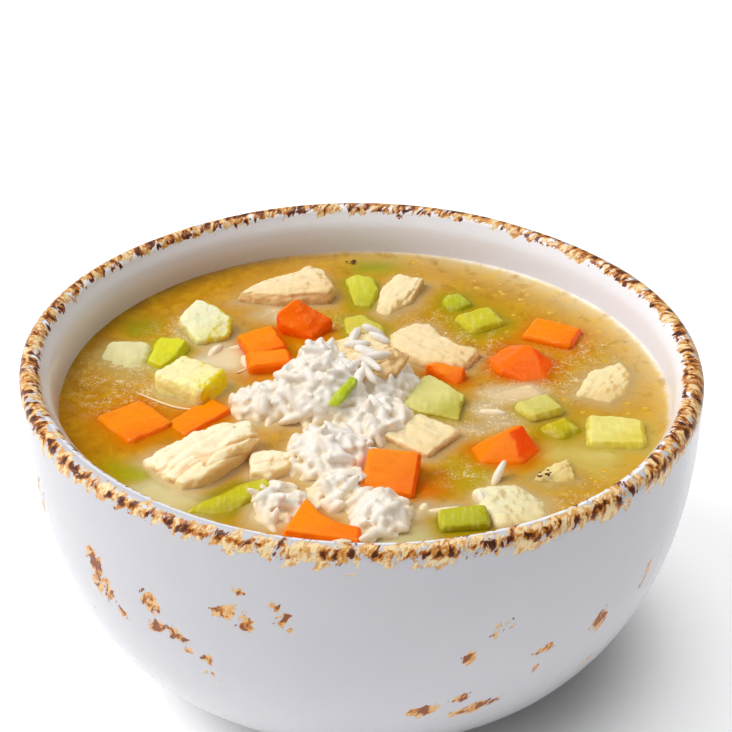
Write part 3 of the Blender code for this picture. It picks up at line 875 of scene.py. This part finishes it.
# Millimetres by which a piece that stands low is swelled, so that it still shows over the broth
SWELL = {"potato_2": 0.9, "potato_5": 1.1, "celery_9": 0.5, "celery_5": 0.5, "carrot_1": 0.4}


FOOD_VOXEL = 0.34
# Rounds of smoothing, and millimetres of coarse and of fine relief
CUTS = {"carrot": (2, 0.18, 0.06), "celery": (7, 0.28, 0.08), "potato": (6, 0.45, 0.14)}


def make_vegetable(node):
    kind = node.split("_")[0]
    rounds, coarse, fine = CUTS[kind]
    mesh = fine_mesh(NODES[node].data, FOOD_VOXEL, rounds)
    points, normals = points_of(mesh), normals_of(mesh)
    seed = random.Random(node).uniform(0, 50)
    push = roughen(points, 4.5, coarse, seed, 2)
    push += roughen(points, 1.1, fine, seed + 1, 2)
    push += SWELL.get(node, 0)
    set_points(mesh, points + normals * push[:, None])
    return settle(mesh, "cut_" + node, [vegetable(node)], [node])


# Direction of the fibres of each piece of chicken, in degrees from +X
FIBRES = {1: 12, 2: 35, 3: 60, 4: -38, 5: 65, 6: 38, 7: 20, 8: 40}
RIDGES = {1: 0.5, 2: 0.9, 3: 0.6, 4: 0.5, 5: 0.3, 6: 1.0, 7: 1.0, 8: 0.6}  # how deep the creases are


def make_meat(node):
    """Torn along its fibres: bundles with narrow creases between them, ragged across."""
    number = int(node.split("_")[1])
    turn, deep = math.radians(FIBRES[number]), RIDGES[number]
    mesh = fine_mesh(NODES[node].data, FOOD_VOXEL, 5)
    points, normals = points_of(mesh), normals_of(mesh)
    c, s = math.cos(turn), math.sin(turn)
    along = points[:, 0] * c + points[:, 1] * s
    aside = points[:, 1] * c - points[:, 0] * s
    grain = np.stack([along * 0.12, aside, points[:, 2]], -1)
    seed = random.Random(node).uniform(0, 50)
    bundles = roughen(grain, 4.2, 1.0, seed, 2)
    torn = np.clip(0.5 + 1.6 * roughen(grain, 5.0, 1.0, seed + 3, 1), 0, 1)
    crease = np.exp(-np.square(bundles / 0.07)) * torn
    push = deep * (0.45 * np.abs(bundles) - 0.45 * crease) + roughen(grain, 1.1, 0.13, seed + 1, 2)
    push += roughen(points, 3.0, 0.35, seed + 2, 3)
    set_points(mesh, points + normals * push[:, None])
    # How much painted shade each crease gets.
    store(mesh, "groove", deep * crease)
    return settle(mesh, "torn_" + node, [meat(node, turn)], [node])


# Pieces sunk in the broth: (name, kind, x, y, depth of the top, size x, y, z, degrees)
SUNK = (
    ("sunk_celery_left", "celery_9", -50, -33, 0.4, 6, 5, 5, 20),
    ("sunk_potato_front_left", "potato_5", -41.5, -45, 0.5, 18, 11, 6, -38),
    ("sunk_celery_back_left", "celery_5", -52.5, 31, 0.7, 6, 5, 5, 10),
    ("sunk_celery_back", "celery_5", 3, 62, 0.6, 8, 4, 5, 0),
    ("sunk_potato_right", "potato_5", 48, -25.5, 0.7, 15, 9, 6, -30),
    ("sunk_celery_front", "celery_3", 22, -35, 0.5, 13, 10, 6, 35),
    ("sunk_carrot_front", "carrot_7", 15, -37.5, 0.4, 6, 8, 6, 10),
    ("sunk_potato_front", "potato_2", 7, -58, 0.5, 15, 7, 6, 10),
    ("sunk_rice_mass", "potato_4", 35, -0.5, 0.4, 13, 6, 5, 20),
    ("sunk_potato_left", "potato_4", -32, 17, 0.2, 9, 10, 6, 65),
    ("sunk_potato_back_left", "potato_2", -50, 16, 0.5, 11, 7, 6, -20),
)


def make_sunk(name, like, x, y, depth, *size_turn):
    shake = random.Random(name)
    size, turn = size_turn[:3], math.radians(size_turn[3])
    shape = bmesh.new()
    bmesh.ops.create_cube(shape, size=1)
    for vert in shape.verts:
        vert.co = Vector([vert.co[i] * size[i] + shake.uniform(-0.9, 0.9) for i in range(3)])
        vert.co.z -= size[2] / 2
    move = Matrix.Translation((x, y, LEVEL - depth)) @ Matrix.Rotation(turn, 4, "Z")
    bmesh.ops.transform(shape, matrix=Matrix.Scale(MM, 4) @ move, verts=shape.verts)
    rough = bpy.data.meshes.new(name)
    shape.to_mesh(rough)
    shape.free()
    mesh = fine_mesh(rough, 0.5, 12)
    points = points_of(mesh)
    set_points(mesh, points + normals_of(mesh) * roughen(points, 4, 0.4, shake.uniform(0, 50), 2)[:, None])
    return settle(mesh, name, [bpy.data.materials[like]])


# ---------------------------------------------------------------- rice

GRAIN_LENGTH = 6.7
GRAIN_RADIUS = 1.08
HEAP_GRAINS = 470
PROUD_GRAINS = 170
CHICKEN_GRAINS = 13
RICE_VOXEL = 0.375
LOOSE_GRAINS = (  # (x, y, height, degrees round, degrees up)
    (29.5, -8.5, 0.0, -12, 4), (28.0, -5.5, -1.2, 25, 0), (31.5, -12.5, -1.3, 5, 0),
    (29.5, -36, 1.6, 60, 32), (24.5, -15, -1.3, -5, 0), (17.5, -47.5, 0.1, 8, 3), (20.5, -49.0, 0.2, 2, 3),
    (12.5, -48.0, -0.2, 65, 8), (9.8, -48.5, -0.4, 70, 5), (26.0, -45.5, 0.8, 115, 20),
    (-23, 38, -0.6, 30, 10), (-21, 40, -0.9, -20, 10), (-20.5, 37, -0.9, 70, 5), (-30.5, 21.5, -0.3, 15, 5),
    (-27.5, 13, -0.3, 100, 12), (-35, 19, -0.2, 60, 10), (-3.5, -60, 0.4, 10, 5), (-8, -62.5, 0.1, -15, 3),
    (-14, -60, 0.0, -30, 3), (-36.5, -54.5, 0.2, 30, 8),
)


def grain_points(shake):
    """One cooked grain along X, plump, slightly bent and uneven, as points in rings."""
    rings, around = 9, 8
    length = GRAIN_LENGTH * shake.uniform(0.80, 1.12)
    girth = GRAIN_RADIUS * shake.uniform(0.86, 1.14)
    bend = shake.uniform(0.0, 0.5)
    heavy_end = shake.uniform(-0.22, 0.22)
    flat = shake.uniform(0.80, 1.0)
    points = [(-length / 2, 0, 0)]
    for ring in range(rings):
        t = math.cos(math.pi * (ring + 1) / (rings + 1))
        radius = girth * (1 - abs(t) ** 2.6) ** 0.5 * (1 + heavy_end * t) * shake.uniform(0.93, 1.07)
        for step in range(around):
            a = math.tau * step / around
            lift = bend * (1 - t * t)
            points.append((-t * length / 2, radius * math.cos(a), radius * flat * math.sin(a) + lift))
    points.append((length / 2, 0, 0))
    return points, rings, around


def grain_faces(rings, around):
    faces = []
    for step in range(around):
        nxt = (step + 1) % around
        faces.append((0, 1 + nxt, 1 + step))
        for ring in range(rings - 1):
            a, b = 1 + ring * around + step, 1 + ring * around + nxt
            faces.append((a, b, b + around, a + around))
        last = 1 + (rings - 1) * around
        faces.append((last + step, last + nxt, 1 + rings * around))
    return faces


def lay_grains(spots, shake):
    """Grains at the given (place, direction) pairs, as one list of points and faces."""
    points, faces = [], []
    for place, direction in spots:
        shape, rings, around = grain_points(shake)
        turn = direction.to_track_quat("X", "Z").to_matrix().to_4x4()
        roll = Matrix.Rotation(shake.uniform(0, math.tau), 4, "X")
        move = Matrix.Translation(place) @ turn @ roll
        start = len(points)
        points += [tuple(move @ Vector(p)) for p in shape]
        faces += [tuple(start + i for i in face) for face in grain_faces(rings, around)]
    return points, faces


def heap_spots(shake, count, deep, proud, lean):
    """Places on the heap's skin, area by area, and a lie for each grain."""
    shape = shape_of(NODES["rice_heap"].data)
    bmesh.ops.triangulate(shape, faces=shape.faces)
    shape.normal_update()
    faces = [f for f in shape.faces if f.calc_center_median().z / MM > LEVEL - 1.6 and f.normal.z > -0.3]
    total = np.cumsum([f.calc_area() for f in faces])
    spots = []
    for _ in range(count):
        face = faces[int(np.searchsorted(total, shake.uniform(0, total[-1])))]
        a, b, c = (v.co / MM for v in face.verts)
        p, q = shake.random(), shake.random()
        if p + q > 1:
            p, q = 1 - p, 1 - q
        normal = face.normal.copy()
        place = a + (b - a) * p + (c - a) * q - normal * shake.uniform(-proud, deep)
        lie = normal.cross(Vector((shake.uniform(-1, 1), shake.uniform(-1, 1), shake.uniform(-1, 1))))
        lie = (lie.normalized() + normal * shake.gauss(0, lean)).normalized()
        spots.append([place, lie])
    shape.free()
    return spots


def spread_out(spots, rounds=28):
    """Pushes overlapping grains apart, each one taken as a short rod of balls."""
    reach = GRAIN_LENGTH * 0.36
    ends = [[place - lie * reach, place + lie * reach] for place, lie in spots]
    homes = [place.copy() for place, lie in spots]
    shares = (0.0, 0.34, 0.67, 1.0)
    apart = GRAIN_RADIUS * 1.35
    for _ in range(rounds):
        balls = kdtree.KDTree(len(ends) * len(shares))
        where = []
        for number, (a, b) in enumerate(ends):
            for share in shares:
                spot = a.lerp(b, share)
                balls.insert(spot, len(where))
                where.append((number, share, spot))
        balls.balance()
        pushes = [[Vector(), Vector()] for _ in ends]
        for number, share, spot in where:
            for other, key, distance in balls.find_range(spot, apart):
                if where[key][0] == number or distance < 1e-6:
                    continue
                push = (spot - other) * (0.22 * (apart - distance) / distance)
                pushes[number][0] += push * (1 - share)
                pushes[number][1] += push * share
        for number, (a, b) in enumerate(ends):
            a += pushes[number][0]
            b += pushes[number][1]
            middle = (a + b) / 2
            lie = (b - a).normalized()
            middle = middle.lerp(homes[number], 0.06)
            ends[number] = [middle - lie * reach, middle + lie * reach]
    return [((a + b) / 2, (b - a).normalized()) for a, b in ends]


def grains_on(node, count, shake):
    """Grains that lie on the left half of another piece."""
    low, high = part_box(node)
    shape = shape_of(NODES[node].data)
    tree = BVHTree.FromBMesh(shape)
    shape.free()
    spots = []
    while len(spots) < count:
        x = shake.triangular(low.x, high.x, low.x)
        y = shake.uniform(low.y, high.y)
        place, normal = tree.ray_cast(Vector((x, y, 1)), Vector((0, 0, -1)))[:2]
        if place is None:
            continue
        lie = normal.cross(Vector((shake.uniform(-1, 1), shake.uniform(-1, 1), 0.2))).normalized()
        spots.append((place / MM + normal * 0.5, lie))
    return spots


def fused(name, points, faces, voxel, rounds):
    """Overlapping grains run together into one soft closed skin."""
    rough = bpy.data.meshes.new(name)
    rough.from_pydata((np.asarray(points) * MM).tolist(), [], faces)
    made = fine_mesh(rough, voxel, rounds)
    bpy.data.meshes.remove(rough)
    return made


def make_rice():
    shake = random.Random("rice")
    core = fine_mesh(NODES["rice_heap"].data, 0.6, 10)
    points, normals = points_of(core), normals_of(core)
    shrink = -0.55 + roughen(points, 2.0, 0.7, 3.0, 2)
    set_points(core, points + normals * shrink[:, None])
    core_points, core_faces = points_of(core), [tuple(face.vertices) for face in core.polygons]
    grain_finish = rice_finish("rice_grain", "#E8E3DC", "#DCD2C0")
    spots = spread_out(heap_spots(shake, HEAP_GRAINS, 0.9, 0.5, 0.22))
    spots += heap_spots(shake, PROUD_GRAINS, 0.0, 1.2, 0.35)
    points, faces = lay_grains(spots, shake)
    start = len(points)
    points = points + core_points.tolist()
    faces = faces + [tuple(start + i for i in face) for face in core_faces]
    mass = fused("rice_mass", points, faces, RICE_VOXEL, 2)
    settle(mass, "rice_mass", [grain_finish], ["rice_heap"])
    loose = grains_on("chicken_2", CHICKEN_GRAINS, shake)
    for x, y, rise, around, up in LOOSE_GRAINS:
        a, e = math.radians(around), math.radians(up)
        lie = Vector((math.cos(a) * math.cos(e), math.sin(a) * math.cos(e), math.sin(e)))
        loose.append((Vector((x, y, LEVEL + rise)), lie))
    add_piece("loose_rice", *lay_grains(loose, shake), grain_finish, slot="rice")


# ---------------------------------------------------------------- small floating things


THREADS = (  # four bends each, as (x, y)
    ((-52, 0), (-47, -3), (-41, -10), (-35, -6)),
    ((-29.5, 9), (-28.5, 9.5), (-27, 10.5), (-26, 12)),
)
THREAD_STEPS = 26
THREAD_SIDES = 6
THREAD_RADIUS = 0.30
FAT_DROPS = 110
# Groups of specks: (x, y, height over the broth, count, spread)
SPECKS = ((39.5, -35.5, 1.6, 7, 1.4), (-3, 64, 0.5, 5, 0.9), (53, -13.4, 1.6, 3, 0.6))


def scatter(name, spots, material, slot):
    """Small flattened drops or crumbs: (x, y, z, half size x, y, z) each, joined into one mesh."""
    ball = bmesh.new()
    bmesh.ops.create_icosphere(ball, subdivisions=2, radius=1)
    unit = np.array([v.co[:] for v in ball.verts])
    ball_faces = np.array([[v.index for v in f.verts] for f in ball.faces])
    ball.free()
    points = np.concatenate([unit * spot[3:] + spot[:3] for spot in np.asarray(spots, float)])
    faces = np.concatenate([ball_faces + number * len(unit) for number in range(len(spots))])
    return add_piece(name, points, faces, material, slot=slot)


def make_fat():
    """Thin lenses of fat, most along the right and the far side."""
    shake = random.Random("fat")
    finish = Finish("fat", Roughness=0.05, IOR=1.47)
    finish.colour(finish.mix(finish.noise(1.5), "#DDB02A", "#D09A0C"))
    spots = []
    while len(spots) < FAT_DROPS:
        turn = math.radians(shake.triangular(-70, 130, 40))
        far = shake.triangular(30, 69.5, 66)
        size = shake.triangular(0.18, 1.1, 0.3)
        spots.append((far * math.cos(turn), far * math.sin(turn), LEVEL, size, size * 0.9, 0.09))
    scatter("fat_drops", spots, finish.material, "broth")


def make_threads():
    """Fine loose fibres of chicken on the broth."""
    finish = Finish("fibre", Roughness=0.4, Specular_IOR_Level=0.2)
    finish.colour(finish.mix(finish.noise(1.0), "#F8E8BC", "#E8CC8C"))
    points, faces = [], []
    for path in THREADS:
        knots = [Vector((x, y, LEVEL + 0.25)) for x, y in path]
        line = interpolate_bezier(*knots, THREAD_STEPS)
        for number, place in enumerate(line):
            thick = THREAD_RADIUS * math.sin(math.pi * (number + 0.5) / THREAD_STEPS) ** 0.4
            ahead = line[min(number + 1, THREAD_STEPS - 1)] - line[max(number - 1, 0)]
            across = Vector((-ahead.y, ahead.x, 0)).normalized()
            for step in range(THREAD_SIDES):
                turn = math.tau * step / THREAD_SIDES
                lift = Vector((0, 0, thick * math.sin(turn)))
                points.append(place + across * thick * math.cos(turn) + lift)
        start = len(points) - THREAD_STEPS * THREAD_SIDES
        for row in range(THREAD_STEPS - 1):
            for step in range(THREAD_SIDES):
                a = start + row * THREAD_SIDES + step
                b = start + row * THREAD_SIDES + (step + 1) % THREAD_SIDES
                faces.append((a, b, b + THREAD_SIDES, a + THREAD_SIDES))
        last = start + (THREAD_STEPS - 1) * THREAD_SIDES
        faces.append(tuple(range(start + THREAD_SIDES - 1, start - 1, -1)))
        faces.append(tuple(range(last, last + THREAD_SIDES)))
    add_piece("chicken_threads", points, faces, finish.material, slot="chicken")


def make_specks():
    """Dried herb and pepper."""
    shake = random.Random("herb")
    finish = Finish("herb", Roughness=0.6)
    finish.colour(finish.mix(finish.noise(0.5), "#7A4A1E", "#4A2810"))
    spots = []
    for x, y, z, count, spread in SPECKS:
        for _ in range(count):
            dx, dy = shake.gauss(0, spread * 0.6), shake.gauss(0, spread * 0.6)
            size = shake.uniform(0.15, 0.42)
            spots.append((x + dx, y + dy, LEVEL + z, size * 1.6, size, size * 0.6))
    scatter("herb_specks", spots, finish.material, "broth")


# ---------------------------------------------------------------- stage


WORLD_LIGHT = 0.31
KEY_WATTS = 90.0
TOP_WATTS = 52.0
FLOOR_GLOW = 0.44
# The floor carries a painted shadow of the bowl, in its colour and in its glow.
SHADE_MIDDLE = (14, -2, 0)  # middle of the soft shade under the bowl, in millimetres
SHADE = ((36, 0.16), (46, 0.36), (55, 0.64), (64, 0.88), (75, 1.0))  # (distance, brightness)
SHADE_REACH = 80
WORLD_FALL = (1.25, 0.45)  # brightness of the surroundings at the left and at the right
FLOOR_HALF = 6.0  # metres


def make_stage():
    finish = Finish("floor", Roughness=0.9, Emission_Strength=FLOOR_GLOW)
    aside = finish.node("ShaderNodeVectorMath", operation="DISTANCE")
    finish.put(aside.inputs[0], finish.spot())
    aside.inputs[1].default_value = SHADE_MIDDLE
    stops = [(gap / SHADE_REACH, share) for gap, share in SHADE]
    # Painted shadow: darker nearer the bowl, offset to the right.
    shade = finish.ramp(finish.math("DIVIDE", aside.outputs["Value"], SHADE_REACH), *stops)
    tone = finish.mix(1.0, finish.mix(finish.noise(300), (0.88,) * 3, (0.87,) * 3), shade, "MULTIPLY")
    finish.colour(tone)
    finish.set("Emission Color", tone)
    mesh = bpy.data.meshes.new("floor")
    corners = [(x * FLOOR_HALF, y * FLOOR_HALF, 0) for x, y in ((-1, -1), (1, -1), (1, 1), (-1, 1))]
    mesh.from_pydata(corners, [], [(0, 1, 2, 3)])
    mesh.materials.append(finish.material)
    floor = add_object("floor", mesh)

    world = bpy.data.worlds.new("studio")
    world.use_nodes = True
    nodes, links = world.node_tree.nodes, world.node_tree.links
    nodes["Background"].inputs["Color"].default_value = (0.96, 0.98, 1.0, 1)
    parts = nodes.new("ShaderNodeSeparateXYZ")
    links.new(nodes.new("ShaderNodeTexCoord").outputs["Generated"], parts.inputs[0])
    spread = nodes.new("ShaderNodeMapRange")
    links.new(parts.outputs["X"], spread.inputs["Value"])
    ends = (-1, 1, WORLD_FALL[0] * WORLD_LIGHT, WORLD_FALL[1] * WORLD_LIGHT)
    for socket, value in zip(("From Min", "From Max", "To Min", "To Max"), ends):
        spread.inputs[socket].default_value = value
    links.new(spread.outputs[0], nodes["Background"].inputs["Strength"])
    bpy.context.scene.world = world

    add_light("key", KEY_WATTS, 2.2, (-2.3, -0.1, 2.65))
    add_light("top", TOP_WATTS, 3.2, (0.3, 0.8, 3.4))

    scene = bpy.context.scene
    scene.view_settings.view_transform = "Standard"
    scene.cycles.max_bounces = 8
    scene.cycles.transparent_max_bounces = 12
    scene.cycles.caustics_reflective = False
    scene.cycles.sample_clamp_indirect = 4.0


def add_light(name, watts, size, place):
    data = bpy.data.lights.new(name, "AREA")
    data.energy = watts
    data.size = size
    light = add_object(name, data)
    light.location = place
    light.rotation_euler = (-Vector(place)).to_track_quat("-Z", "Y").to_euler()
    light.visible_camera = False


CAMERA_LENS = 107.07
CAMERA_SHIFT = 0.00544
CAMERA_PLACE = (0, -0.42897, 0.32611)
CAMERA_PITCH = 30.43  # degrees below the horizontal


def make_camera():
    data = bpy.data.cameras.new("camera")
    data.sensor_width = 36
    data.lens = CAMERA_LENS
    data.shift_x = CAMERA_SHIFT
    camera = add_object("camera", data)
    camera.location = CAMERA_PLACE
    camera.rotation_euler = (math.radians(90 - CAMERA_PITCH), 0, 0)
    bpy.context.scene.camera = camera


def main():
    make_camera()
    make_bowl()
    for node in sorted(NODES):
        kind = node.split("_")[0]
        if kind == "chicken":
            make_meat(node)
        elif kind in ("carrot", "celery", "potato"):
            make_vegetable(node)
    for row in SUNK:
        make_sunk(*row)
    make_rice()
    make_broth()
    make_fat()
    make_threads()
    make_specks()
    make_stage()


main()
